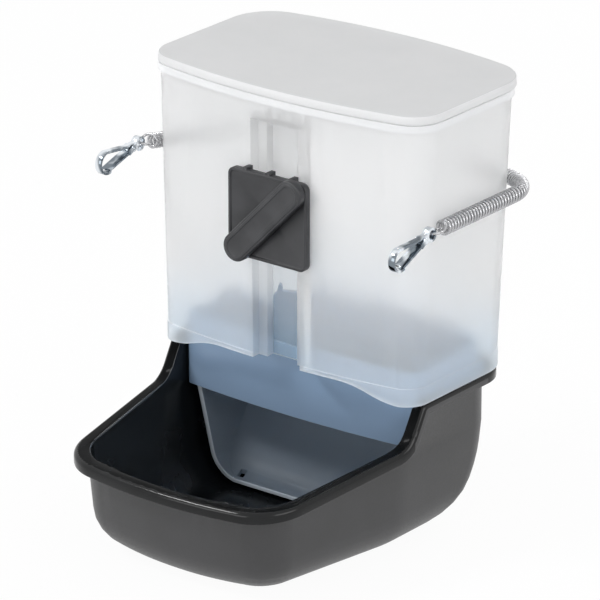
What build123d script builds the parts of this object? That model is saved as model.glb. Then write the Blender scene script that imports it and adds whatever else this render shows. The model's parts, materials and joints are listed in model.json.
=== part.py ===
from build123d import *
import math
import os

os.makedirs("parts", exist_ok=True)

# Gravity feeder for small cage animals, in millimetres.
# The origin is the middle of the trough's flat underside, +Z is up and the open trough faces -Y.

# Main levels
seat_height = 69.0
seat_gap = 0.3

# Container: a tapered box, open above and below, with a bowed front and back
container_height = 125.4
container_wall = 1.6
container_front = 5.7
container_bottom_half_width = 68.0
container_bottom_depth = 67.4
container_bottom_front_bow = 6.0
container_bottom_back_bow = 9.0
container_bottom_front_corner = 10.5
container_bottom_back_corner = 18.0
container_top_half_width = 72.2
container_top_depth = 71.5
container_top_front_bow = 8.0
container_top_back_bow = 10.0
container_top_front_corner = 14.0
container_top_back_corner = 21.0
lip_height = 3.4
lip_width = 1.0
skirt_height = 8.0
skirt_width = 0.5
wave_height = 6.0
wave_half_width = 38.0
wave_run = 18.0
wave_radius = 45.0
wave_reach = 14.0

# Channel down the middle of the container's front, in two steps
channel_height = 114.0
channel_wide_half_width = 12.6
channel_wide_depth = 4.0
channel_deep_half_width = 8.0
channel_deep_depth = 8.0

# Lid: a flat cap with a plug lip that drops inside the container
lid_side_overhang = 1.0
lid_front_overhang = 0.7
lid_back_overhang = 2.2
lid_front_bow = 8.6
lid_back_bow = 9.2
lid_front_corner = 15.0
lid_back_corner = 21.0
lid_rim_height = 3.9
lid_thickness = 1.6
lid_edge_round = 1.2
lid_plug_depth = 5.0
lid_plug_wall = 1.4
lid_plug_gap = 0.6

# Trough: rim outline, walls and floor
trough_wall = 1.3
trough_draft = 3.2
trough_draft_height = 44.0
rim_overhang = 4.7
rim_depth = 4.8
rim_edge_round = 2.2
rim_half_width = 68.4
rim_front_half_width = 57.0
rim_front = -75.0
rim_front_bow = 7.0
rim_front_corner = 24.0
rim_back_corner = 18.0
rim_knee_position = 6.0
rim_knee_radius = 60.0
rim_back_inset = 0.4
rim_front_height = 43.3
rim_foot_position = 3.7
rim_foot_height = 51.4
rim_foot_radius = 12.0
rim_shoulder_position = 13.5
rim_shoulder_radius = 4.0
ledge_width = 1.5
ledge_depth = 2.4
base_round = 18.0
base_rear_round = 35.0
corner_inset_share = 0.65
back_corner_inset_share = 0.22
base_ring_count = 10

# Insert: collar, flange and scoop with its outlet
insert_wall = 1.8
insert_gap = 0.8
insert_front = 17.7
collar_front = 15.2
collar_front_bow = 3.3
collar_front_corner = 2.5
collar_rise = 10.5
flange_gap = 0.3
flange_thickness = 1.8
strip_height = 22.7
scoop_top_half_width = 58.3
scoop_low_half_width = 47.8
scoop_corner = 16.0
scoop_height = 4.0
scoop_lip_length = 2.4
ramp_angle = 42.0
ramp_bend_radius = 12.0
notch_side = 3.4
notch_offset = 36.0
notch_setback = 3.6

# Screw clamp on the container's front
clamp_height = 142.0
plate_width = 41.2
plate_height = 38.9
plate_thickness = 2.6
plate_corner = 3.2
plate_border = 1.3
plate_border_rise = 0.5
plate_gap = 0.5
rib_depth = 1.8
rib_width = 2.2
rib_spacing = 12.1
rib_overrun = 1.0
stud_radius = 2.9
stud_slack = 0.3
stud_head_radius = 4.6
stud_head_length = 1.9
stud_tail = 7.0
nut_radius = 5.6
nut_length = 5.0
washer_radius = 7.0
washer_thickness = 1.2
lever_length = 53.6
lever_width = 12.6
lever_thickness = 3.5
lever_angle = 46.0
lever_gap = 0.3
lever_border = 1.2
lever_border_rise = 0.4
lever_edge_round = 0.8
thread_slack = 0.08
head_slack = 0.05

# Tension springs, one round each rear corner, and their end loops
wire = 1.1
coil_radius = 2.9
coil_turns = 46.75
spring_height = 149.0
spring_rise_left = 7.2
spring_rise_right = 0.0
spring_side_gap = 1.0
spring_front_left = 8.7
spring_front_right = 15.0
spring_back_inset = 26.56
spring_bend_radius = 17.0
spring_bend_setback = 10.2
spring_back_angle = 12.0
end_loop_radius = 3.2
end_loop_reach = 1.8
end_loop_sweep = 265.0

# Tabs on the container's back that the springs' rear loops pass through
lug_width = 9.0
lug_thickness = 2.4
lug_hole_radius = 1.3
lug_hole_edge = 3.2
lug_margin = 2.6

# Snap hooks on the springs' front loops
hook_width = 3.0
hook_strip = 1.1
hook_eye_radius = 2.6
hook_eye_offset = 0.75
hook_tilt_left = 5.0
hook_tilt_right = 11.0
hook_block_start = 3.15
hook_block_length = 5.8
hook_block_height = 3.4
hook_arm_rise = 1.15
hook_length = 27.0
hook_nose_radius = 4.7
hook_nose_drop = 0.8
hook_lip_length = 1.6
gate_pivot = 6.0
gate_start = 9.4
gate_start_drop = 1.2
gate_end = 22.4
gate_end_drop = 4.0
gate_width = 4.8
gate_cheek = 0.5
gate_cheek_radius = 1.5
gate_strip = 0.9
gate_pin_radius = 0.7
gate_pin_slack = 0.06

# How far a cutting solid runs past what it cuts, and how near two shapes are that touch
overrun = 30.0
touching = 0.01

bottom_up = (Align.CENTER, Align.CENTER, Align.MIN)


# Outlines seen from above

def bowed_plan(half_width, front, back, front_bow, back_bow, front_corner, back_corner):
    """A rectangle with rounded corners whose front and back swell outwards."""
    outline = Curve() + [
        ThreePointArc((-half_width, front), (0, front - front_bow), (half_width, front)),
        Line((half_width, front), (half_width, back)),
        ThreePointArc((half_width, back), (0, back + back_bow), (-half_width, back)),
        Line((-half_width, back), (-half_width, front)),
    ]
    face = make_face(outline)
    face = fillet(face.vertices().group_by(Axis.Y)[0], front_corner)
    return fillet(face.vertices().group_by(Axis.Y)[-1], back_corner)


def between(low, high, share):
    return low + (high - low) * share


def container_plan(share, inset):
    """The container's outline at a share of its height, drawn in by inset."""
    depth = between(container_bottom_depth, container_top_depth, share)
    return bowed_plan(
        between(container_bottom_half_width, container_top_half_width, share) - inset,
        container_front + inset,
        container_front + depth - inset,
        between(container_bottom_front_bow, container_top_front_bow, share),
        between(container_bottom_back_bow, container_top_back_bow, share),
        between(container_bottom_front_corner, container_top_front_corner, share) - inset,
        between(container_bottom_back_corner, container_top_back_corner, share) - inset,
    )


trough_back = container_front + container_bottom_depth - rim_back_inset


def trough_back_corner(inset):
    return rim_back_corner - inset * back_corner_inset_share


def trough_plan(inset, back_inset=0):
    """The trough's outline drawn in by inset, and at the back by back_inset more."""
    front_half = rim_front_half_width - inset
    half = rim_half_width - inset
    front = rim_front + inset
    back = trough_back - inset - back_inset
    outline = Curve() + [
        ThreePointArc((-front_half, front), (0, front - rim_front_bow), (front_half, front)),
        Line((front_half, front), (half, rim_knee_position)),
        Line((half, rim_knee_position), (half, back)),
        ThreePointArc((half, back), (0, back + container_bottom_back_bow), (-half, back)),
        Line((-half, back), (-half, rim_knee_position)),
        Line((-half, rim_knee_position), (-front_half, front)),
    ]
    face = make_face(outline)
    face = fillet(face.vertices().group_by(Axis.Y)[1], rim_knee_radius)
    rear = face.vertices().filter_by(lambda corner: corner.Y > back - container_wall)
    face = fillet(rear, trough_back_corner(inset))
    front_corners = face.vertices().filter_by(lambda corner: corner.Y < front + container_wall)
    return fillet(front_corners, rim_front_corner - inset * corner_inset_share)


def tapered(plans_and_heights):
    """A solid that runs straight from each outline to the next one up."""
    return loft([Pos(0, 0, height) * plan for plan, height in plans_and_heights], ruled=True)


# Container

def front_at(height):
    """The container's outer face at the middle of its front."""
    share = (height - seat_height) / container_height
    return container_front - between(container_bottom_front_bow, container_top_front_bow, share)


def side_at(height):
    share = (height - seat_height) / container_height
    return between(container_bottom_half_width, container_top_half_width, share)


def back_corner_at(height):
    share = (height - seat_height) / container_height
    return container_front + between(container_bottom_depth, container_top_depth, share)


def back_at(height, offset):
    """The container's outer back face, offset from the middle."""
    share = (height - seat_height) / container_height
    bow = between(container_bottom_back_bow, container_top_back_bow, share)
    return back_corner_at(height) + bow * (1 - (offset / side_at(height)) ** 2)


channel_face = front_at(seat_height)


def channel(half_width, depth, growth):
    """One step of the front channel as a block, grown by a wall for the inside."""
    block = Box(
        2 * (half_width + growth),
        overrun + depth + growth,
        overrun + channel_height + growth,
        align=(Align.CENTER, Align.MAX, Align.MAX),
    )
    return Pos(0, channel_face + depth + growth, seat_height + channel_height + growth) * block


def channel_steps(growth):
    wide = channel(channel_wide_half_width, channel_wide_depth, growth)
    return wide + channel(channel_deep_half_width, channel_deep_depth, growth)


def wave_cut():
    """The raised stretch of the container's lower front edge."""
    low = seat_height - overrun
    high = seat_height + wave_height
    outer = wave_half_width + wave_run
    end = outer + overrun
    outline = Polyline(
        (-end, low), (-end, seat_height), (-outer, seat_height), (-wave_half_width, high),
        (wave_half_width, high), (outer, seat_height), (end, seat_height), (end, low), close=True,
    )
    face = make_face(outline)
    bends = face.vertices().filter_by(lambda corner: corner.Y > low and abs(corner.X) < end - wave_height)
    face = fillet(bends, wave_radius)
    block = extrude(Plane.XZ * face, amount=overrun + container_front)
    return Pos(0, container_front + wave_reach, 0) * block


spring_line = side_at(spring_height) + spring_side_gap + coil_radius + wire / 2
back_turn = math.radians(90 - spring_back_angle)
bend_centre = spring_line - spring_bend_radius
spring_bend_position = back_corner_at(spring_height) - spring_bend_setback
spring_back_end = side_at(spring_height) - spring_back_inset
bend_end = Vector(
    bend_centre + spring_bend_radius * math.cos(back_turn),
    spring_bend_position + spring_bend_radius * math.sin(back_turn),
    spring_height,
)
back_heading = Vector(-math.sin(back_turn), math.cos(back_turn), 0)
back_run = (bend_end.X - spring_back_end) / -back_heading.X
spring_end = bend_end + back_heading * back_run
lug_hole = spring_end + back_heading * (end_loop_reach + 2 * end_loop_radius)


def lug(side):
    """A level tab with an upright hole for a spring's rear loop."""
    inner = back_at(spring_height, lug_hole.X) - container_wall
    depth = lug_hole.Y + lug_margin - inner
    edge = lug_hole.X + lug_hole_edge
    tab = Box(lug_width, depth, lug_thickness, align=(Align.MAX, Align.MIN, Align.CENTER))
    tab = Pos(edge, inner, spring_height) * tab
    hole = Pos(lug_hole.X, lug_hole.Y, spring_height) * Cylinder(lug_hole_radius, 2 * lug_thickness)
    tab = tab - hole
    return tab if side > 0 else mirror(tab, Plane.YZ)


clamp_frame = Plane(
    origin=(0, front_at(clamp_height), clamp_height), x_dir=(1, 0, 0), z_dir=(0, -1, 0),
)
channel_back = front_at(clamp_height) - channel_face - channel_deep_depth - container_wall


def container():
    top = seat_height + container_height
    outer = tapered([(container_plan(0, 0), seat_height), (container_plan(1, 0), top)])
    outer += Pos(0, 0, top - lip_height) * extrude(container_plan(1, -lip_width), lip_height)
    outer += Pos(0, 0, seat_height) * extrude(container_plan(0, -skirt_width), skirt_height)
    inner = tapered([
        (container_plan(0, container_wall), seat_height),
        (container_plan(1, container_wall), top),
    ])
    body = outer - channel_steps(0) - (inner - channel_steps(container_wall))
    body = body - wave_cut()
    body += [lug(side) for side in (-1, 1)]
    hole = Cylinder(stud_radius + stud_slack, overrun, align=bottom_up)
    return body - clamp_frame * Pos(0, 0, channel_back - container_wall) * hole


# Lid

def lid():
    underside = seat_height + container_height + seat_gap
    plan = bowed_plan(
        container_top_half_width + lid_side_overhang,
        container_front - lid_front_overhang,
        container_front + container_top_depth + lid_back_overhang,
        lid_front_bow,
        lid_back_bow,
        lid_front_corner,
        lid_back_corner,
    )
    cap = extrude(plan, lid_rim_height)
    cap = fillet(cap.edges().group_by(Axis.Z)[-1], lid_edge_round)
    cap = Pos(0, 0, underside) * cap
    plug_inset = container_wall + lid_plug_gap
    plug = extrude(container_plan(1, plug_inset), -lid_plug_depth)
    hollow = extrude(container_plan(1, plug_inset + lid_plug_wall), -overrun)
    hollow = Pos(0, 0, underside + lid_rim_height - lid_thickness) * hollow
    return cap + Pos(0, 0, underside) * plug - hollow


# Trough

def rounding(radius, height):
    """How far a rounded bottom edge draws in at a height above the floor."""
    rest = max(radius - height, 0)
    return radius - math.sqrt(radius ** 2 - rest ** 2)


def trough_block(shell):
    """The trough's rounded body, drawn in by shell, up to the seat."""
    low_round = base_round - shell
    rear_round = base_rear_round - shell
    sections = []
    for ring in range(base_ring_count + 1):
        height = rear_round * (1 - math.cos(math.radians(90 * ring / base_ring_count)))
        drawn_in = rounding(low_round, height)
        rear_more = rounding(rear_round, height) - drawn_in
        draft = trough_draft * (1 - (shell + height) / trough_draft_height)
        plan = trough_plan(rim_overhang + shell + draft + drawn_in, rear_more)
        sections.append((plan, shell + height))
    for height in (trough_draft_height, seat_height):
        sections.append((trough_plan(rim_overhang + shell), height))
    return tapered(sections)


seat_top = seat_height - seat_gap


def above_rim():
    """The space over the trough's rim, seen from the side: low in front, then up to the seat."""
    slope = (rim_foot_height - rim_front_height) / (rim_foot_position - rim_front + rim_front_bow)
    front = rim_front - rim_front_bow - overrun
    rear = trough_back + container_bottom_back_bow + overrun
    outline = Polyline(
        (front, rim_front_height - slope * overrun),
        (rim_foot_position, rim_foot_height),
        (rim_shoulder_position, seat_top),
        (rear, seat_top),
        (rear, seat_top + overrun),
        (front, seat_top + overrun),
        close=True,
    )
    face = make_face(outline)
    foot = face.vertices().sort_by_distance((rim_foot_position, rim_foot_height))[0]
    face = fillet(foot, rim_foot_radius)
    shoulder = face.vertices().sort_by_distance((rim_shoulder_position, seat_top))[0]
    return fillet(shoulder, rim_shoulder_radius)


def across(face):
    """A side-view outline run across the whole width."""
    return extrude(Plane.YZ * face, amount=rim_half_width + overrun, both=True)


def rim():
    """The band round the trough's upper edge, its outer edge rounded into a bead."""
    space = above_rim()
    plan = trough_plan(0)
    outline = plan.wire()
    top = across(space)
    band = extrude(plan, seat_height) & across(offset(space, rim_depth) - space)

    def on_bead(edge):
        middle = edge @ 0.5
        beside = outline.distance_to(Vector(middle.X, middle.Y, 0))
        return max(beside, top.distance_to(middle)) < touching

    return fillet(band.edges().filter_by(on_bead), rim_edge_round)


def trough():
    ledge = trough_plan(rim_overhang + trough_wall - ledge_width)
    ledge = Pos(0, 0, seat_top - ledge_depth) * extrude(ledge, overrun)
    body = trough_block(0) - across(above_rim()) + rim()
    return body - trough_block(trough_wall) - ledge


# Insert

def collar_plan(inset):
    half_width = rim_half_width - rim_overhang - trough_wall - insert_gap
    back = trough_back - rim_overhang - trough_wall - insert_gap
    return bowed_plan(
        half_width - inset,
        collar_front + inset,
        back - inset,
        collar_front_bow,
        container_bottom_back_bow,
        collar_front_corner - inset,
        trough_back_corner(rim_overhang + trough_wall) - insert_gap - inset,
    )


def flange_plan():
    """The flange that rests on the trough's ledge at the sides and the back."""
    inset = rim_overhang + trough_wall - ledge_width + flange_gap
    return bowed_plan(
        rim_half_width - inset,
        collar_front + rim_back_corner,
        trough_back - inset,
        collar_front_bow,
        container_bottom_back_bow,
        collar_front_corner,
        trough_back_corner(inset),
    )


collar_top = seat_height + collar_rise
strip_bottom = seat_height - strip_height


def scoop_side(inset):
    """The space over the ramp, seen from the side."""
    front = insert_front - overrun
    rear = trough_back + overrun
    bottom = scoop_height + inset
    start = insert_front + scoop_lip_length - inset * math.tan(math.radians(ramp_angle / 2))
    rise = (rear - start) * math.tan(math.radians(ramp_angle))
    top = bottom + rise + seat_height
    outline = Polyline(
        (front, bottom), (start, bottom), (rear, bottom + rise), (rear, top), (front, top), close=True,
    )
    face = make_face(outline)
    bend = face.vertices().sort_by_distance((start, bottom))[0]
    return across(fillet(bend, ramp_bend_radius - inset))


def scoop_front(inset):
    """The collar and the rounded scoop below it, seen from the front."""
    wide = rim_half_width
    shoulder = strip_bottom + inset
    low = scoop_height + inset
    outline = Polyline(
        (-wide, collar_top + overrun),
        (-wide, shoulder),
        (-scoop_top_half_width + inset, shoulder),
        (-scoop_low_half_width + inset, low),
        (scoop_low_half_width - inset, low),
        (scoop_top_half_width - inset, shoulder),
        (wide, shoulder),
        (wide, collar_top + overrun),
        close=True,
    )
    face = make_face(outline)
    corners = face.vertices().group_by(Axis.Y)[0]
    face = fillet(corners, scoop_corner - inset)
    return extrude(Plane.XZ * face, amount=trough_back + overrun, both=True)


def feed_insert():
    """The insert: open in front below the strip, with a flange round its sides and back."""
    front_space = Box(
        2 * rim_half_width, overrun, seat_height, align=(Align.CENTER, Align.MAX, Align.MAX),
    )
    body = extrude(collar_plan(0), collar_top) - Pos(0, insert_front, strip_bottom) * front_space
    body = body & scoop_side(0) & scoop_front(0)
    hollow = extrude(collar_plan(insert_wall), collar_top + overrun)
    hollow += Pos(0, insert_front + insert_wall, strip_bottom) * front_space
    hollow = hollow & scoop_side(insert_wall) & scoop_front(insert_wall)
    flange = extrude(flange_plan() - collar_plan(insert_wall / 2), flange_thickness)
    body = body - hollow + Pos(0, 0, seat_top - flange_gap - flange_thickness) * flange
    for side in (-1, 1):
        place = Pos(side * notch_offset, insert_front + notch_setback, 0)
        body -= place * Box(notch_side, notch_side, strip_height)
    return body


# Screw clamp, drawn flat in a frame whose own Z points out of the container's front

plate_face = plate_gap + rib_depth + plate_thickness
lever_back = plate_face + plate_border_rise + lever_gap


def clamp_plate():
    blank = RectangleRounded(plate_width, plate_height, plate_corner)
    window = RectangleRounded(
        plate_width - 2 * plate_border, plate_height - 2 * plate_border, plate_corner - plate_border,
    )
    plate = Pos(0, 0, plate_gap + rib_depth) * extrude(blank, plate_thickness)
    plate += Pos(0, 0, plate_face) * extrude(blank - window, plate_border_rise)
    for place in (-rib_spacing, 0, rib_spacing):
        rib = Box(
            rib_width, plate_height + rib_overrun, rib_depth + plate_thickness,
            align=(Align.CENTER, Align.MIN, Align.MIN),
        )
        plate += Pos(place, -plate_height / 2, plate_gap) * rib
    return clamp_frame * (plate - Cylinder(stud_radius + stud_slack, overrun))


def clamp_lever():
    blank = SlotOverall(lever_length, lever_width)
    bar = extrude(blank, lever_thickness)
    bar = fillet(bar.edges().group_by(Axis.Z)[-1], lever_edge_round)
    window = SlotOverall(lever_length - 4 * lever_border, lever_width - 4 * lever_border)
    edge = SlotOverall(lever_length - 2 * lever_border, lever_width - 2 * lever_border)
    bar += Pos(0, 0, lever_thickness) * extrude(edge - window, lever_border_rise)
    pocket = extrude(RegularPolygon(stud_head_radius + head_slack, 6), stud_head_length + head_slack)
    bar -= pocket
    return clamp_frame * Pos(0, 0, lever_back) * Rot(0, 0, lever_angle) * bar


def clamp_stud():
    head = extrude(RegularPolygon(stud_head_radius, 6), stud_head_length)
    tip = channel_back - washer_thickness - nut_length - stud_tail
    shank = Pos(0, 0, tip - lever_back) * Cylinder(stud_radius, lever_back - tip, align=bottom_up)
    return clamp_frame * Pos(0, 0, lever_back) * Rot(0, 0, lever_angle) * (head + shank)


def nut_washer():
    ring = Cylinder(washer_radius, washer_thickness, align=bottom_up)
    ring -= Cylinder(stud_radius + stud_slack, overrun)
    return clamp_frame * Pos(0, 0, channel_back - washer_thickness) * ring


def clamp_nut():
    nut = extrude(RegularPolygon(nut_radius, 6), nut_length)
    nut -= Cylinder(stud_radius + thread_slack, overrun)
    return clamp_frame * Pos(0, 0, channel_back - washer_thickness - nut_length) * nut


# Springs

def biarc(start, start_tangent, end, end_tangent):
    """Two arcs that join two points and leave both along their tangents."""
    chord = end - start
    spread = 2 * (1 - start_tangent.dot(end_tangent))
    pull = chord.dot(start_tangent + end_tangent)
    reach = (math.sqrt(pull ** 2 + spread * chord.dot(chord)) - pull) / spread
    near = start + start_tangent * reach
    far = end - end_tangent * reach
    middle = (near + far) / 2
    through = (far - near).normalized()
    return [TangentArc(start, middle, tangent=start_tangent), TangentArc(middle, end, tangent=through)]


def tube(edges, start, tangent):
    """A round wire along the edges."""
    section = Plane(origin=start, z_dir=tangent) * Circle(wire / 2)
    return sweep(section, path=Wire(edges))


class Spring:
    """The line and the coil of one spring, from its front end to its rear end."""

    def __init__(self, side, rise, front_end):
        self.side = side
        self.rise = rise
        self.front_end = front_end
        self.side_run = spring_bend_position - front_end
        self.bend = spring_bend_radius * back_turn
        self.length = self.side_run + self.bend + back_run

    def centre(self, distance):
        run = max(1 - distance / self.side_run, 0)
        height = spring_height + self.rise * run ** 1.5
        if distance <= self.side_run:
            return Vector(self.side * spring_line, self.front_end + distance, height)
        turn = (distance - self.side_run) / spring_bend_radius
        if turn <= back_turn:
            across_line = bend_centre + spring_bend_radius * math.cos(turn)
            return Vector(
                self.side * across_line,
                spring_bend_position + spring_bend_radius * math.sin(turn),
                height,
            )
        point = bend_end + back_heading * (distance - self.side_run - self.bend)
        return Vector(self.side * point.X, point.Y, height)

    def frame(self, distance):
        """The heading, the outward direction and the upward direction of the line."""
        step = wire / 100
        ahead = self.centre(min(distance + step, self.length))
        heading = (ahead - self.centre(max(distance - step, 0))).normalized()
        outward = heading.cross(Vector(0, 0, 1)).normalized() * self.side
        return heading, outward, heading.cross(outward).normalized() * -self.side

    def coil(self, turns):
        distance = self.length * turns / coil_turns
        heading, outward, upward = self.frame(distance)
        angle = math.radians(90 + 360 * turns)
        return self.centre(distance) + (outward * math.cos(angle) + upward * math.sin(angle)) * coil_radius

    def coil_tangent(self, turns):
        step = 1 / 400
        low = max(turns - step, 0)
        high = min(turns + step, coil_turns)
        return (self.coil(high) - self.coil(low)).normalized()

    def solid(self):
        stops = [count / 2 for count in range(int(coil_turns * 2) + 1)] + [coil_turns]
        points = [self.coil(turns) for turns in stops]
        tangents = [self.coil_tangent(turns) for turns in stops]
        first = points[0] - tangents[0] * wire
        last = points[-1] + tangents[-1] * wire
        edges = [Line(first, points[0])]
        for index in range(len(points) - 1):
            edges += biarc(points[index], tangents[index], points[index + 1], tangents[index + 1])
        edges.append(Line(points[-1], last))
        return tube(edges, first, tangents[0])

    def end_loop(self, turns, outwards):
        """The loop on one end of the coil: outwards is -1 at the front and 1 at the rear."""
        start = self.coil(turns)
        tangent = self.coil_tangent(turns) * outwards
        start = start + tangent * wire
        distance = self.length * turns / coil_turns
        heading = self.frame(distance)[0] * outwards
        aside = (tangent - heading * tangent.dot(heading)).normalized()
        middle = self.centre(distance) + heading * (end_loop_reach + end_loop_radius)
        around = math.radians(end_loop_sweep)

        def ring(turn):
            return middle + (aside * math.cos(turn) + heading * math.sin(turn)) * end_loop_radius

        edges = biarc(start, tangent, ring(0), heading)
        edges.append(ThreePointArc(ring(0), ring(around / 4), ring(around / 2)))
        edges.append(ThreePointArc(ring(around / 2), ring(around * 3 / 4), ring(around)))
        return tube(edges, start, tangent)

    def least_gap(self):
        """The least distance between the coil's turns, surface to surface."""
        samples = 20
        points = [self.coil(index / samples) for index in range(int(coil_turns * samples))]
        least = coil_radius
        for index, point in enumerate(points):
            for other in points[index + samples // 2:index + 3 * samples]:
                least = min(least, (point - other).length - wire)
        return least

    def hinge_point(self):
        heading = self.frame(0)[0]
        return self.centre(0) - heading * (end_loop_reach + 2 * end_loop_radius)


# Snap hooks, drawn flat with the hinge at the origin: forward is -X of the sketch, up is +Y

def strip(line, thickness):
    return trace(line, line_width=thickness)


def slab(face, width, offset_across=0):
    solid = extrude(Plane.YZ * face, amount=width / 2, both=True)
    return Pos(offset_across, 0, 0) * solid


def hook_body():
    eye = Circle(hook_eye_radius + hook_strip / 2) - Circle(hook_eye_radius - hook_strip / 2)
    eye = Pos(-hook_eye_offset, 0) * eye
    block = Pos(-hook_block_start - hook_block_length / 2, 0) * Rectangle(
        hook_block_length, hook_block_height,
    )
    nose = hook_length - hook_nose_radius
    top = hook_nose_radius - hook_nose_drop
    bottom = -hook_nose_radius - hook_nose_drop
    arm_start = hook_block_start + hook_block_length - hook_strip
    arm = Line((-arm_start, hook_arm_rise), (-nose, top))
    curl = ThreePointArc((-nose, top), (-hook_length, -hook_nose_drop), (-nose, bottom))
    lip = Line((-nose, bottom), (-nose + hook_lip_length, bottom))
    outline = eye + block + [strip(line, hook_strip) for line in (arm, curl, lip)]
    bore = Pos(-gate_pivot, 0) * Circle(gate_pin_radius + gate_pin_slack)
    return slab(outline - bore, hook_width)


def hook_gate():
    root = (-gate_start, -gate_start_drop)
    leaf = strip(Line(root, (-gate_end, -gate_end_drop)), gate_strip)
    web = strip(Line((-gate_pivot, 0), root), 2 * gate_cheek_radius - gate_strip)
    cheek = web + Pos(-gate_pivot, 0) * Circle(gate_cheek_radius) + Pos(*root) * Circle(gate_strip / 2)
    cheek -= Pos(-gate_pivot, 0) * Circle(gate_pin_radius + gate_pin_slack / 2)
    gate = slab(leaf, gate_width)
    for side in (-1, 1):
        gate += slab(cheek, gate_cheek, side * (gate_width - gate_cheek) / 2)
    return gate


def gate_pin():
    return slab(Pos(-gate_pivot, 0) * Circle(gate_pin_radius), gate_width)


def hung(solid, spring, tilt):
    """A hook's piece moved to the end of its spring, with its nose turned down by tilt."""
    place = spring.hinge_point()
    return Pos(place.X, place.Y, place.Z) * Rot(tilt, 0, 0) * solid


def save(solid, node):
    export_step(solid, f"parts/{node}.step")


def main():
    save(trough(), "trough")
    save(feed_insert(), "feed_insert")
    save(container(), "container")
    save(lid(), "lid")
    save(clamp_plate(), "clamp_plate")
    save(clamp_lever(), "clamp_lever")
    save(clamp_stud(), "clamp_stud")
    save(nut_washer(), "nut_washer")
    save(clamp_nut(), "clamp_nut")
    springs = (
        ("left", Spring(-1, spring_rise_left, spring_front_left), hook_tilt_left),
        ("right", Spring(1, spring_rise_right, spring_front_right), hook_tilt_right),
    )
    for name, spring, tilt in springs:
        save(spring.solid(), f"spring_{name}")
        save(spring.end_loop(0, -1), f"spring_front_loop_{name}")
        save(spring.end_loop(coil_turns, 1), f"spring_rear_loop_{name}")
        save(hung(hook_body(), spring, tilt), f"hook_{name}")
        save(hung(hook_gate(), spring, tilt), f"hook_gate_{name}")
        save(hung(gate_pin(), spring, tilt), f"gate_pin_{name}")
        print(name, "spring: least gap between turns", round(spring.least_gap(), 2))
        hinge = spring.hinge_point()
        print(name, "hook hinge", round(hinge.X, 3), round(hinge.Y, 3), round(hinge.Z, 3))


main()
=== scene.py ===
import json
import math

import bmesh
import bpy
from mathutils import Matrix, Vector


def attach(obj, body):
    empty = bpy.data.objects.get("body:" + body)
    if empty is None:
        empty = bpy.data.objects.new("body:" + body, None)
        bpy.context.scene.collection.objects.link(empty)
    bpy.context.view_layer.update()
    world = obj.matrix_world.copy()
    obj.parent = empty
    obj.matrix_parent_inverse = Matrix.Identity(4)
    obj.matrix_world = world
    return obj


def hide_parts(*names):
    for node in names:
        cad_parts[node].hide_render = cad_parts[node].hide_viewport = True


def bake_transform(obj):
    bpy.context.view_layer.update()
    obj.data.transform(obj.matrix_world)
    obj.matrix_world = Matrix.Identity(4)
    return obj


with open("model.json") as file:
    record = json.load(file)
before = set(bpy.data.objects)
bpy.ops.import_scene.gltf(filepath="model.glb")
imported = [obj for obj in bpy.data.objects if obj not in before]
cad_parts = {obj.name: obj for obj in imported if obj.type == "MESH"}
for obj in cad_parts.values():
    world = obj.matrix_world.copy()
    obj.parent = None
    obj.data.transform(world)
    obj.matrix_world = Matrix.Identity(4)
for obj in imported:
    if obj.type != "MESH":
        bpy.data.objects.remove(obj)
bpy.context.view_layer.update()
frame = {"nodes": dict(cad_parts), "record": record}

# Finishes, the camera and the stage are in metres, pieces in millimetres times MM

MM = 0.001


# Camera: the photograph's own angle; the photograph is 600 x 600, and the render size is not set
# here

EYE = Vector((1.3008, -1.6569, 0.9247))
TARGET = Vector((-0.012366, 0.031815, 0.091024))
LENS = 321.395
SENSOR_WIDTH = 36
FARTHEST = 20


def placed(name, data, place, aim):
    """A camera or lamp at a place, turned to its aim."""
    made = bpy.data.objects.new(name, data)
    made.location = place
    made.rotation_euler = (Vector(aim) - Vector(place)).to_track_quat("-Z", "Y").to_euler()
    bpy.context.scene.collection.objects.link(made)
    return made


camera_data = bpy.data.cameras.new("camera")
camera_data.lens = LENS
camera_data.sensor_width = SENSOR_WIDTH
camera_data.clip_end = FARTHEST
bpy.context.scene.camera = placed("camera", camera_data, EYE, TARGET)


# Finishes: a band is the stretch of a noise or a height over which a finish changes

NOISE_BAND = (0.3, 0.7)
HAZE_BAND = (0.3, 0.75)
SPOT_BAND = (0.35, 0.7)
PAINTED_REFLECTION_BAND = (0.42, 0.56)
NO_STRETCH = (1, 1, 1)


def tinted(colour, tint):
    """A colour with each of its parts times the tint's."""
    return tuple(part * share for part, share in zip(colour, tint))


class Value:
    """A node's output, so that maths on nodes is written as Python sums."""

    def __init__(self, nodes, socket):
        self.nodes = nodes
        self.socket = socket

    def __getitem__(self, name):
        """Another output of the same node."""
        return Value(self.nodes, self.socket.node.outputs[name])

    def maths(self, operation, *others):
        inputs = dict(enumerate((self, *others)))
        return self.nodes.node("ShaderNodeMath", {"operation": operation}, inputs)

    def __add__(self, other):
        return self.maths("ADD", other)

    def __mul__(self, other):
        return self.maths("MULTIPLY", other)

    def __or__(self, other):
        return self.maths("MAXIMUM", other)

    __radd__ = __add__
    __rmul__ = __mul__
    __ror__ = __or__


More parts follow.
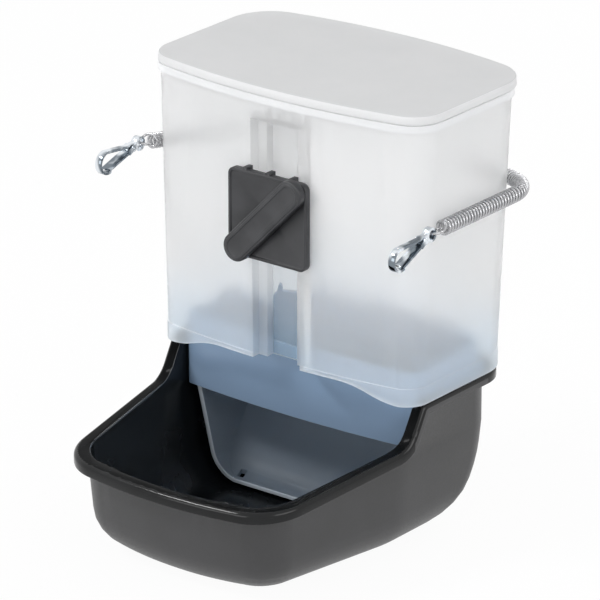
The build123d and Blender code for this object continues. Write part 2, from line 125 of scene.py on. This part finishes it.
class Nodes:
    """A node tree whose new nodes all come from one method."""

    def __init__(self, tree):
        self.tree = tree

    def node(self, kind, settings=None, inputs=None, output=0):
        """A new node of that kind, as the value of one of its outputs."""
        made = self.tree.nodes.new(kind)
        for key, value in (settings or {}).items():
            setattr(made, key, value)
        for key, value in (inputs or {}).items():
            self.feed(made, key, value)
        return Value(self, made.outputs[output]) if made.outputs else None

    def feed(self, node, socket, value):
        """Links a value to a node's socket, or sets the socket to a plain number or colour."""
        if isinstance(value, Value):
            self.tree.links.new(value.socket, node.inputs[socket])
        else:
            node.inputs[socket].default_value = value

    def vectors(self, operation, inputs):
        return self.node("ShaderNodeVectorMath", {"operation": operation}, inputs)

    def background_white(self, shader, white):
        """Mixes in plain white for the rays that should see the background."""
        path = self.node("ShaderNodeLightPath", output="Is Camera Ray")
        seen = path | path["Is Transmission Ray"] | path["Is Glossy Ray"]
        return self.node("ShaderNodeMixShader", None, {0: seen, 1: shader, 2: white})


class Finish(Nodes):
    """A procedural material with one Principled shader."""

    def __init__(self, name, **settings):
        self.material = bpy.data.materials.new(name)
        self.material.use_nodes = True
        super().__init__(self.material.node_tree)
        self.shader = self.tree.nodes["Principled BSDF"]
        for socket, value in settings.items():
            self.shader.inputs[socket.replace("_", " ")].default_value = value

    def noise(self, scale, detail=2, roughness=0.5, stretch=NO_STRETCH):
        coordinates = self.node("ShaderNodeTexCoord", output="Object")
        point = self.node("ShaderNodeMapping", None, {"Vector": coordinates, "Scale": stretch})
        return self.node("ShaderNodeTexNoise", None, {
            "Vector": point, "Scale": scale, "Detail": detail, "Roughness": roughness,
        })

    def height(self):
        """The height over the floor, in metres."""
        coordinates = self.node("ShaderNodeTexCoord", output="Object")
        return self.node("ShaderNodeSeparateXYZ", None, {0: coordinates}, output="Z")

    def ramp(self, value, band, low=0.0, high=1.0):
        """A number that goes smoothly from low to high as value crosses the band."""
        return self.node("ShaderNodeMapRange", {"interpolation_type": "SMOOTHSTEP"}, {
            "Value": value, "From Min": band[0], "From Max": band[1], "To Min": low, "To Max": high,
        })

    def blend(self, value, band, first, second):
        """A colour that goes smoothly from first to second as value crosses the band."""
        colours = [part if isinstance(part, Value) else (*part, 1) for part in (first, second)]
        return self.node("ShaderNodeMix", {"data_type": "RGBA"}, {
            0: self.ramp(value, band), 6: colours[0], 7: colours[1],
        }, output=2)

    def roughness(self, value):
        self.feed(self.shader, "Roughness", value)

    def base_colour(self, value):
        self.feed(self.shader, "Base Color", value)

    def bump(self, value, distance):
        self.feed(self.shader, "Normal", self.node("ShaderNodeBump", None, {
            "Height": value, "Distance": distance, "Strength": 1.0,
        }))


GLOSS_DARK = (0.7, 0.75, 0.8)
GLOSS_PALE = (1.2, 1.3, 1.4)
FINE_SHARE = 0.05


def gloss_black(name, index, tone=0.006):
    finish = Finish(name, IOR=index)
    haze = finish.noise(60, detail=4, roughness=0.6)
    fine = finish.noise(900)
    grey = (tone, tone, tone)
    finish.roughness(finish.ramp(haze, HAZE_BAND, low=0.10, high=0.19))
    finish.base_colour(finish.blend(
        haze, NOISE_BAND, tinted(grey, GLOSS_DARK), tinted(grey, GLOSS_PALE)))
    finish.bump(haze + fine * FINE_SHARE, distance=0.00002)
    return finish.material


# Painted shade: the trough's inside is the same plastic as its outside, painted much darker for the
# shade in the bowl.
def shaded_inner_black():
    finish = Finish("shaded_inner_black", IOR=1.45)
    haze = finish.noise(45, detail=3, roughness=0.6)
    grain = finish.noise(1100)
    finish.roughness(finish.ramp(haze, HAZE_BAND, low=0.20, high=0.30))
    finish.base_colour(finish.blend(
        haze, NOISE_BAND, (0.006, 0.0075, 0.009), (0.009, 0.0105, 0.012)))
    finish.bump(haze + grain * FINE_SHARE, distance=0.00002)
    return finish.material


def satin_black():
    finish = Finish("satin_black", IOR=1.5)
    broad = finish.noise(35, detail=3, roughness=0.55)
    grain = finish.noise(1500, detail=3, roughness=0.7)
    finish.roughness(finish.ramp(grain, NOISE_BAND, low=0.36, high=0.48))
    finish.base_colour(finish.blend(
        broad, NOISE_BAND, (0.036, 0.036, 0.037), (0.042, 0.042, 0.044)))
    finish.bump(grain, distance=0.00003)
    return finish.material


def clamp_black():
    finish = Finish("clamp_black", IOR=1.5)
    broad = finish.noise(80, detail=3)
    grain = finish.noise(2200)
    finish.roughness(finish.ramp(broad, NOISE_BAND, low=0.34, high=0.46))
    finish.base_colour(finish.blend(
        broad, NOISE_BAND, (0.022, 0.023, 0.026), (0.038, 0.039, 0.043)))
    finish.bump(grain, distance=0.00003)
    return finish.material


CLOUD_TINT = (0.98, 0.985, 0.985)
CLOUD_ROUGHNESS = 1.2
PAINTED_BLUE_BAND = (0.070, 0.112)
POLISH = 0.2
POLISH_FADE = 1.15


def frosted(name, tone, clear, roughness, index=1.2, painted_see_through_blue=None, polished_below=None):
    """Cloudy see-through plastic: clear is the share of light that goes through the surface.

    At the foot of the container its colour fades to a painted blue that stands in for the blue
    insert seen through the wall, and it is smoother below polished_below.
    """
    finish = Finish(name, IOR=index, Transmission_Weight=clear)
    cloud = finish.noise(28, detail=4, roughness=0.6)
    grain = finish.noise(1100)
    haze = finish.ramp(cloud, NOISE_BAND, roughness, roughness * CLOUD_ROUGHNESS)
    if polished_below:
        fade = (polished_below, polished_below * POLISH_FADE)
        haze = haze * finish.ramp(finish.height(), fade, low=POLISH)
    finish.roughness(haze)
    colour = finish.blend(cloud, NOISE_BAND, tone, tinted(tone, CLOUD_TINT))
    if painted_see_through_blue:
        # Painted see-through blue: towards the foot the colour fades to the blue of the insert
        # behind the wall.
        colour = finish.blend(finish.height(), PAINTED_BLUE_BAND, painted_see_through_blue, colour)
    finish.base_colour(colour)
    finish.bump(grain, distance=0.000006)
    return finish.material


ZINC_PALE = (1, 1, 1.02)
ZINC_DARK = (0.82, 0.83, 0.86)
ZINC_SPREAD = 0.12


def zinc(name, roughness, tone):
    finish = Finish(name, Metallic=1.0)
    spot = finish.noise(260, detail=4, roughness=0.65)
    grey = (tone, tone, tone)
    finish.roughness(finish.ramp(spot, NOISE_BAND, roughness, roughness + ZINC_SPREAD))
    finish.base_colour(finish.blend(
        spot, SPOT_BAND, tinted(grey, ZINC_PALE), tinted(grey, ZINC_DARK)))
    finish.bump(spot, distance=0.00002)
    return finish.material


def reflection_painted_zinc():
    """Bright plating with dark streaks painted into its colour: painted reflections standing in for
    what its curved faces pick up.
    """
    finish = Finish("reflection_painted_zinc", Metallic=1.0)
    painted_reflection = finish.noise(150, detail=1, roughness=0.4, stretch=(1, 1, 0.5))
    spot = finish.noise(500, detail=3, roughness=0.6)
    finish.roughness(finish.ramp(spot, NOISE_BAND, low=0.07, high=0.16))
    finish.base_colour(finish.blend(
        painted_reflection, PAINTED_REFLECTION_BAND, (0.78, 0.82, 0.86), (0.20, 0.23, 0.26)))
    finish.bump(spot, distance=0.00002)
    return finish.material


GLOSS = gloss_black("gloss_black", index=1.1)
BEAD_GLOSS = gloss_black("bead_gloss", index=1.36)
# Painted highlight: a paler black for the rim's inner edge, standing in for its highlight line.
HIGHLIGHT_LINE_GLOSS = gloss_black("painted_highlight_gloss", index=1.7, tone=0.06)
SATIN = satin_black()
SHADED_INSIDE = shaded_inner_black()
# The frosted walls and the channel get a painted blue at their foot, for the insert seen through
# them.
FROSTED = frosted(
    "frosted", tone=(0.988, 0.988, 0.99), clear=0.74, roughness=0.36, index=1.18,
    painted_see_through_blue=(0.88, 0.935, 0.98))
FROSTED_EDGE = frosted(
    "frosted_edge", tone=(0.97, 0.975, 0.985), clear=0.3, roughness=0.36)
CHANNEL_CLEAR = frosted(
    "channel_clear", tone=(0.99, 0.992, 0.995), clear=0.76, roughness=0.36, index=1.18,
    painted_see_through_blue=(0.72, 0.86, 0.96), polished_below=0.108)
# Painted shade: the lid's top gets a much darker tone than its sides.
SHADED_MILKY_TOP = frosted(
    "shaded_milky_top", tone=(0.70, 0.702, 0.704), clear=0.2, roughness=0.42, index=1.35)
MILKY_EDGE = frosted(
    "milky_edge", tone=(0.93, 0.932, 0.935), clear=0.3, roughness=0.36)
SMOKY = frosted(
    "smoky", tone=(0.235, 0.285, 0.345), clear=0.5, roughness=0.32, index=1.2)
SMOKY_STRIP = frosted(
    "smoky_strip", tone=(0.29, 0.41, 0.58), clear=0.12, roughness=0.2, index=1.35)
# Painted highlight: a pale blue for the strip's lower edge and the scoop's front, standing in for
# their bright edge lines.
SMOKY_HIGHLIGHT_EDGE = frosted(
    "smoky_highlight_edge", tone=(0.72, 0.80, 0.88), clear=0.12, roughness=0.2, index=1.35)
# Painted shade: the collar's inward faces get a darker, deeper blue than its outer faces.
SMOKY_SHADED_INNER = frosted(
    "smoky_shaded_inner", tone=(0.19, 0.34, 0.53), clear=0.1, roughness=0.25, index=1.3)
CLAMP = clamp_black()
SPRING_ZINC = zinc("spring_zinc", roughness=0.2, tone=0.52)
# The hooks, pins, leaves and the nut's parts get painted reflections in their colour.
HOOK_ZINC = reflection_painted_zinc()


# Pieces: rounded copies of the CAD nodes

EDGE_SEGMENTS = 2
EDGE_ANGLE = math.radians(25)
SHARP_ANGLE = math.radians(40)
FLAT_ANGLE = 0.6
MERGE_DISTANCE = 0.00001

BODIES = frame["record"]["behaviour"]["bodies"]
BODY_OF = {node: body for body, nodes in BODIES.items() for node in nodes}


def stand_in(piece, node):
    """Puts a finished piece in the place of a CAD node, on its body."""
    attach(piece, BODY_OF[node])
    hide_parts(node)


def new_piece(name, mesh, *materials):
    piece = bpy.data.objects.new(name, mesh)
    bpy.context.scene.collection.objects.link(piece)
    for material in materials:
        mesh.materials.append(material)
    return piece


def cleaned(node, flat_angle, share_at):
    """A node's mesh without its flat seams; share_at weighs an edge's rounding by its middle."""
    mesh = frame["nodes"][node].data.copy()
    mesh.materials.clear()
    work = bmesh.new()
    work.from_mesh(mesh)
    bmesh.ops.remove_doubles(work, verts=work.verts, dist=MERGE_DISTANCE)
    bmesh.ops.dissolve_limit(
        work, angle_limit=math.radians(flat_angle), verts=work.verts, edges=work.edges)
    if share_at:
        share = work.edges.layers.float.new("bevel_weight_edge")
        for edge in work.edges:
            if edge.calc_face_angle(0) > EDGE_ANGLE:
                edge[share] = share_at((edge.verts[0].co + edge.verts[1].co) / 2 / MM)
    work.to_mesh(mesh)
    work.free()
    return mesh


def soften(node, name, materials, width, choose=None,
           segments=EDGE_SEGMENTS, flat_angle=FLAT_ANGLE, share_at=None):
    """Replaces a node by a copy with edges rounded by width, in millimetres.

    choose gives the material of a face from its middle and its normal.
    """
    piece = new_piece(name, cleaned(node, flat_angle, share_at), *materials)
    bevel = piece.modifiers.new("edges", "BEVEL")
    bevel.width = width * MM
    bevel.segments = segments
    bevel.limit_method = "WEIGHT" if share_at else "ANGLE"
    bevel.angle_limit = EDGE_ANGLE
    bevel.use_clamp_overlap = not share_at
    bpy.context.view_layer.update()
    graph = bpy.context.evaluated_depsgraph_get()
    mesh = bpy.data.meshes.new_from_object(piece.evaluated_get(graph))
    mesh.name = name
    piece.modifiers.clear()
    piece.data = mesh
    mesh.shade_smooth()
    mesh.set_sharp_from_angle(angle=SHARP_ANGLE)
    if choose:
        for face in mesh.polygons:
            face.material_index = materials.index(choose(face.center / MM, face.normal))
    stand_in(piece, node)


# Trough: a satin outside, a glossy rim with a painted highlight line on its inner edge, and an
# inside darkened with painted shade

RIM_FRONT = Vector((-82.0, 43.3))
RIM_FOOT = Vector((3.7, 51.4))
RIM_SHOULDER = Vector((13.5, 68.7))
RIM_BAND = 5.0
RIM_LEAN = 0.25
RIM_TOP_NORMAL = 0.1
INSIDE_NORMAL = 0.3
MIDLINE_END = 40
KNEE_LENGTH = 8.0
RIM_TOLERANCE = 0.6
ROUND_SHARE = 1.0
PLAIN_SHARE = 0.3


def rim_height(depth):
    """The height of the rim's top at a distance along Y."""
    low, high = (RIM_FRONT, RIM_FOOT) if depth < RIM_FOOT.x else (RIM_FOOT, RIM_SHOULDER)
    share = (depth - low.x) / (high.x - low.x)
    return min(low.y + (high.y - low.y) * share, RIM_SHOULDER.y)


def trough_finish(middle, normal):
    past_midline = min(middle.y, 0) if middle.y < MIDLINE_END else middle.y - MIDLINE_END
    outwards = Vector((middle.x, past_midline, 0))
    lean = outwards.normalized().dot(normal)
    near_rim = middle.z > rim_height(middle.y) - RIM_BAND
    if near_rim and (lean > 0 or normal.z > RIM_TOP_NORMAL):
        if lean > RIM_LEAN:
            return BEAD_GLOSS
        # The rim's inner edge gets the painted highlight.
        return HIGHLIGHT_LINE_GLOSS if lean < -RIM_LEAN else GLOSS
    # Faces turned up or inwards get the painted shade of the inside.
    if normal.z > INSIDE_NORMAL or outwards.dot(normal) < 0:
        return SHADED_INSIDE
    return SATIN


def trough_edge(middle):
    """The rim's inner edge round the bowl is the roundest."""
    on_rim = abs(middle.z - rim_height(middle.y)) < RIM_TOLERANCE
    before_knee = middle.y < RIM_FOOT.x - KNEE_LENGTH
    return ROUND_SHARE if on_rim and before_knee else PLAIN_SHARE


soften(
    "trough", "trough_shell", [SATIN, GLOSS, SHADED_INSIDE, BEAD_GLOSS, HIGHLIGHT_LINE_GLOSS], width=0.9,
    choose=trough_finish, flat_angle=0.3, segments=3, share_at=trough_edge)


# Container and lid: frosted walls with milky edges, a clearer back of the channel, and a lid top
# painted darker as shade

STEP_TOP = 78.0
STEP_NORMAL = 0.2
LIP_FOOT = 191.0
CHANNEL_HALF_WIDTH = 15.0
CHANNEL_NEAR = 7.6
CHANNEL_FAR = 12.6
CHANNEL_SIDE_NORMAL = 0.7
LID_TOP_NORMAL = 0.75


def container_finish(middle, normal):
    stepped = middle.z < STEP_TOP and abs(normal.z) > STEP_NORMAL
    if stepped or middle.z > LIP_FOOT:
        return FROSTED_EDGE
    in_channel = abs(middle.x) < CHANNEL_HALF_WIDTH and CHANNEL_NEAR < middle.y < CHANNEL_FAR
    return CHANNEL_CLEAR if in_channel and abs(normal.x) < CHANNEL_SIDE_NORMAL else FROSTED


def lid_finish(middle, normal):
    # The lid's top gets the darker tone of painted shade.
    return MILKY_EDGE if normal.z < LID_TOP_NORMAL else SHADED_MILKY_TOP


soften(
    "container", "container_walls", [FROSTED, FROSTED_EDGE, CHANNEL_CLEAR], width=0.55,
    choose=container_finish)
soften("lid", "lid_cap", [SHADED_MILKY_TOP, MILKY_EDGE], width=0.3, choose=lid_finish)


# Insert: a blue strip and collar over a darker scoop, with painted highlights on its lower edges
# and painted shade on the collar's inward faces

STRIP_FOOT = 46.3
STRIP_EDGE_REACH = 0.5
SCOOP_FRONT = 18.2
STRIP_DEPTH = 3.0
INSERT_MIDDLE = 48.0
UNDERSIDE_NORMAL = -0.3


def insert_finish(middle, normal):
    underside = normal.z < UNDERSIDE_NORMAL
    in_strip = middle.y < SCOOP_FRONT + STRIP_DEPTH
    at_strip_foot = in_strip and abs(middle.z - STRIP_FOOT) < STRIP_EDGE_REACH
    in_scoop = middle.z < STRIP_FOOT
    # The strip's lower edge and the scoop's front get the painted highlight.
    if (underside and at_strip_foot) or (in_scoop and middle.y < SCOOP_FRONT):
        return SMOKY_HIGHLIGHT_EDGE
    if in_scoop:
        return SMOKY
    # Inward faces of the collar get the painted shade.
    inwards = normal.x * middle.x + normal.y * (middle.y - INSERT_MIDDLE) < 0
    return SMOKY_SHADED_INNER if inwards and normal.z > UNDERSIDE_NORMAL else SMOKY_STRIP


soften(
    "feed_insert", "insert_scoop", [SMOKY, SMOKY_STRIP, SMOKY_HIGHLIGHT_EDGE, SMOKY_SHADED_INNER], width=0.55,
    choose=insert_finish)


# Clamp and hooks

soften("clamp_plate", "clamp_square", [CLAMP], width=0.2)
soften("clamp_lever", "clamp_bar", [CLAMP], width=0.25)
soften("clamp_nut", "clamp_nut_hex", [HOOK_ZINC], width=0.25)
soften("nut_washer", "clamp_washer", [HOOK_ZINC], width=0.15)
soften("clamp_stud", "clamp_screw", [HOOK_ZINC], width=0.2)
for side in ("left", "right"):
    soften(f"hook_{side}", f"hook_{side}_strip", [HOOK_ZINC], width=0.22)
    soften(f"hook_gate_{side}", f"hook_{side}_leaf", [HOOK_ZINC], width=0.15)
    soften(f"gate_pin_{side}", f"hook_{side}_pin", [HOOK_ZINC], width=0.12)


# Springs: a wire wound round a line that follows the container's side and rear corner.
# The wire is a little thicker than the solid's, as it looks in the photograph.

WIRE = 1.16
WIRE_SIDES = 10
COIL_RADIUS = 2.9
COIL_TURNS = 46.75
COIL_STEPS = 28
COIL_START = math.radians(90)
LINE_STEPS = round(COIL_TURNS * COIL_STEPS)
SPRING_HEIGHT = 149.0
SPRING_LINE = 75.129
RISE_POWER = 1.5
BEND_RADIUS = 17.0
BEND_TURN = math.radians(78)
BEND_START = 65.516
BACK_END = 44.119
LOOP_RADIUS = 3.2
LOOP_REACH = 1.8
LOOP_SWEEP = math.radians(265)
LOOP_STEPS = 40
NECK_STEPS = 20
HEADING_STEP = WIRE / 100

BEND_CENTRE = SPRING_LINE - BEND_RADIUS
BEND_END = Vector((
    BEND_CENTRE + BEND_RADIUS * math.cos(BEND_TURN),
    BEND_START + BEND_RADIUS * math.sin(BEND_TURN),
    SPRING_HEIGHT,
))
BACK_HEADING = Vector((-math.sin(BEND_TURN), math.cos(BEND_TURN), 0))
BACK_RUN = (BEND_END.x - BACK_END) / -BACK_HEADING.x


class Spring:
    """The line of one spring and the wire wound round it, in millimetres."""

    def __init__(self, side, rise, front_end):
        self.side = side
        self.rise = rise
        self.front_end = front_end
        self.side_run = BEND_START - front_end
        self.bend = BEND_RADIUS * BEND_TURN
        self.length = self.side_run + self.bend + BACK_RUN

    def centre(self, distance):
        """The middle of the coil at a distance from its front end."""
        run = max(1 - distance / self.side_run, 0)
        height = SPRING_HEIGHT + self.rise * run ** RISE_POWER
        if distance <= self.side_run:
            return Vector((self.side * SPRING_LINE, self.front_end + distance, height))
        turn = (distance - self.side_run) / BEND_RADIUS
        if turn <= BEND_TURN:
            across = BEND_CENTRE + BEND_RADIUS * math.cos(turn)
            depth = BEND_START + BEND_RADIUS * math.sin(turn)
            return Vector((self.side * across, depth, height))
        point = BEND_END + BACK_HEADING * (distance - self.side_run - self.bend)
        return Vector((self.side * point.x, point.y, height))

    def directions(self, distance):
        """The heading, the outward direction and the upward direction of the line."""
        ahead = self.centre(min(distance + HEADING_STEP, self.length))
        behind = self.centre(max(distance - HEADING_STEP, 0))
        heading = (ahead - behind).normalized()
        outward = heading.cross(Vector((0, 0, 1))).normalized() * self.side
        return heading, outward, heading.cross(outward).normalized() * -self.side

    def coil(self, turns):
        """The wire's middle after a number of turns, where a loop joins it."""
        distance = self.length * turns / COIL_TURNS
        heading, outward, upward = self.directions(distance)
        angle = COIL_START + math.tau * turns
        spoke = outward * math.cos(angle) + upward * math.sin(angle)
        return self.centre(distance) + spoke * COIL_RADIUS

    def line_points(self):
        """Points along the middle of the coil, COIL_STEPS for each turn."""
        return [self.centre(self.length * index / LINE_STEPS) for index in range(LINE_STEPS + 1)]

    def loop_points(self, turns, outwards):
        """The loop on one end of the coil: outwards is -1 at the front and 1 at the rear."""
        start = self.coil(turns)
        tangent = (start - self.coil(turns - outwards / COIL_STEPS)).normalized()
        distance = self.length * turns / COIL_TURNS
        heading = self.directions(distance)[0] * outwards
        aside = (tangent - heading * tangent.dot(heading)).normalized()
        middle = self.centre(distance) + heading * (LOOP_REACH + LOOP_RADIUS)

        def ring(turn):
            return middle + (aside * math.cos(turn) + heading * math.sin(turn)) * LOOP_RADIUS

        first = ring(0)
        reach = (first - start).length / 2
        near, far = start + tangent * reach, first - heading * reach
        points = []
        for index in range(NECK_STEPS):
            share = index / NECK_STEPS
            rest = 1 - share
            points.append(
                start * rest ** 3 + near * 3 * rest ** 2 * share
                + far * 3 * rest * share ** 2 + first * share ** 3)
        return points + [ring(LOOP_SWEEP * index / LOOP_STEPS) for index in range(LOOP_STEPS + 1)]


WINDING_SOCKETS = {
    "Line": "NodeSocketGeometry",
    "Wire Radius": "NodeSocketFloat",
    "Wire Sides": "NodeSocketInt",
    "Coil Radius": "NodeSocketFloat",
    "Start Angle": "NodeSocketFloat",
    "Step Angle": "NodeSocketFloat",
    "Side": "NodeSocketFloat",
    "Finish": "NodeSocketMaterial",
}


def winding_tree():
    """Geometry Nodes that wind a round wire about a line; at a coil radius of 0 it lies on it."""
    tree = bpy.data.node_groups.new("wound_wire", "GeometryNodeTree")
    for name, kind in WINDING_SOCKETS.items():
        tree.interface.new_socket(name=name, in_out="INPUT", socket_type=kind)
    tree.interface.new_socket(name="Spring", in_out="OUTPUT", socket_type="NodeSocketGeometry")
    nodes = Nodes(tree)
    given = nodes.node("NodeGroupInput", output="Line")
    line = nodes.node("GeometryNodeSetCurveNormal", {"mode": "Z_UP"}, {"Curve": given})

    heading = nodes.node("GeometryNodeInputTangent")
    outward = nodes.node("GeometryNodeInputNormal")
    upward = nodes.vectors("CROSS_PRODUCT", {0: outward, 1: heading})
    angle = nodes.node("GeometryNodeInputIndex") * given["Step Angle"] + given["Start Angle"]
    across = angle.maths("COSINE") * given["Side"] * given["Coil Radius"]
    along = angle.maths("SINE") * given["Coil Radius"]
    spoke = nodes.vectors("ADD", {
        0: nodes.vectors("SCALE", {0: outward, "Scale": across}),
        1: nodes.vectors("SCALE", {0: upward, "Scale": along}),
    })
    wound = nodes.node("GeometryNodeSetPosition", None, {"Geometry": line, "Offset": spoke})

    even = nodes.node("GeometryNodeSetCurveNormal", {"mode": "MINIMUM_TWIST"}, {"Curve": wound})
    section = nodes.node("GeometryNodeCurvePrimitiveCircle", None, {
        "Resolution": given["Wire Sides"], "Radius": given["Wire Radius"],
    })
    wire = nodes.node("GeometryNodeCurveToMesh", None, {
        "Curve": even, "Profile Curve": section, "Fill Caps": True,
    })
    real = nodes.node("GeometryNodeRealizeInstances", None, {"Geometry": wire})
    finished = nodes.node("GeometryNodeSetMaterial", None, {
        "Geometry": real, "Material": given["Finish"],
    })
    nodes.node("NodeGroupOutput", None, {"Spring": finished})
    return tree


WINDING = winding_tree()


def wire_piece(name, points, **sizes):
    """A wire on the line through the points, or wound about it, as a mesh with closed ends."""
    curve = bpy.data.curves.new(name, "CURVE")
    curve.dimensions = "3D"
    line = curve.splines.new("POLY")
    line.points.add(len(points) - 1)
    for place, point in zip(line.points, points):
        place.co = (*(point * MM), 1)
    made = bpy.data.objects.new(name, curve)
    bpy.context.scene.collection.objects.link(made)
    modifier = made.modifiers.new("winding", "NODES")
    modifier.node_group = WINDING
    values = {
        "Wire Radius": WIRE / 2 * MM, "Wire Sides": WIRE_SIDES, "Coil Radius": 0.0,
        "Start Angle": COIL_START, "Step Angle": math.tau / COIL_STEPS, "Side": 1.0,
        "Finish": SPRING_ZINC, **sizes,
    }
    for socket in WINDING.interface.items_tree:
        if socket.name in values:
            modifier[socket.identifier] = values[socket.name]
    bpy.context.view_layer.update()
    graph = bpy.context.evaluated_depsgraph_get()
    mesh = bpy.data.meshes.new_from_object(made.evaluated_get(graph))
    bpy.data.objects.remove(made)
    mesh.name = name
    mesh.shade_smooth()
    return new_piece(name, mesh)


SPRINGS = {
    "left": Spring(side=-1, rise=7.2, front_end=8.7),
    "right": Spring(side=1, rise=0.0, front_end=15.0),
}

for side, spring in SPRINGS.items():
    winding = {"Coil Radius": COIL_RADIUS * MM, "Side": float(spring.side)}
    coil = wire_piece(f"spring_{side}_coil", spring.line_points(), **winding)
    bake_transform(coil)
    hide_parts(f"spring_{side}")
    for end, turns, outwards in (("front", 0, -1), ("rear", COIL_TURNS, 1)):
        loop = wire_piece(f"spring_{side}_{end}_eye", spring.loop_points(turns, outwards))
        stand_in(loop, f"spring_{end}_loop_{side}")


# Stage: a pale floor, soft lamps and a white background

WHITE = (1, 1, 1, 1)
AMBIENT = (0.98, 0.985, 1, 1)
AMBIENT_STRENGTH = 0.5
FLOOR_GREY = (0.9, 0.9, 0.9, 1)
FLOOR_ROUGHNESS = 0.8
FLOOR_GLOW = 0.95
FLOOR_HALF = 6.0
FLOOR_DROP = 0.0004
LAMP_AIM = (0, 0, 0.09)


def lamp(name, place, size, power):
    data = bpy.data.lights.new(name, "AREA")
    data.shape = "RECTANGLE"
    data.size, data.size_y = size
    data.energy = power
    placed(name, data, place, LAMP_AIM)


world = bpy.data.worlds.new("studio")
bpy.context.scene.world = world
world.use_nodes = True
sky = Nodes(world.node_tree)
ambient = world.node_tree.nodes["Background"]
sky.feed(ambient, "Color", AMBIENT)
sky.feed(ambient, "Strength", AMBIENT_STRENGTH)
white = sky.node("ShaderNodeBackground", None, {"Color": WHITE})
seen_sky = sky.background_white(Value(sky, ambient.outputs[0]), white)
sky.feed(world.node_tree.nodes["World Output"], "Surface", seen_sky)

ground = Finish("floor", Roughness=FLOOR_ROUGHNESS)
ground.base_colour(FLOOR_GREY)
matt = Value(ground, ground.shader.outputs[0])
glow = ground.node("ShaderNodeEmission", None, {"Color": WHITE})
pale = ground.node("ShaderNodeMixShader", None, {0: FLOOR_GLOW, 1: matt, 2: glow})
seen_ground = ground.background_white(matt, pale)
ground.feed(ground.tree.nodes["Material Output"], "Surface", seen_ground)

floor_mesh = bpy.data.meshes.new("floor")
floor_corners = [
    (-FLOOR_HALF, -FLOOR_HALF, 0), (FLOOR_HALF, -FLOOR_HALF, 0),
    (FLOOR_HALF, FLOOR_HALF, 0), (-FLOOR_HALF, FLOOR_HALF, 0),
]
floor_mesh.from_pydata(floor_corners, [], [(0, 1, 2, 3)])
floor = new_piece("floor", floor_mesh, ground.material)
floor.location.z = -FLOOR_DROP

lamp("key", place=(-0.9, -0.9, 1.5), size=(0.7, 0.22), power=13)
lamp("side", place=(1.6, -0.3, 0.8), size=(1.2, 0.8), power=9)
lamp("back", place=(0.2, 1.4, 1.3), size=(1.0, 0.2), power=8)
lamp("front", place=(-0.4, -1.7, 0.5), size=(1.2, 0.8), power=7)

bpy.context.scene.view_settings.view_transform = "Standard"
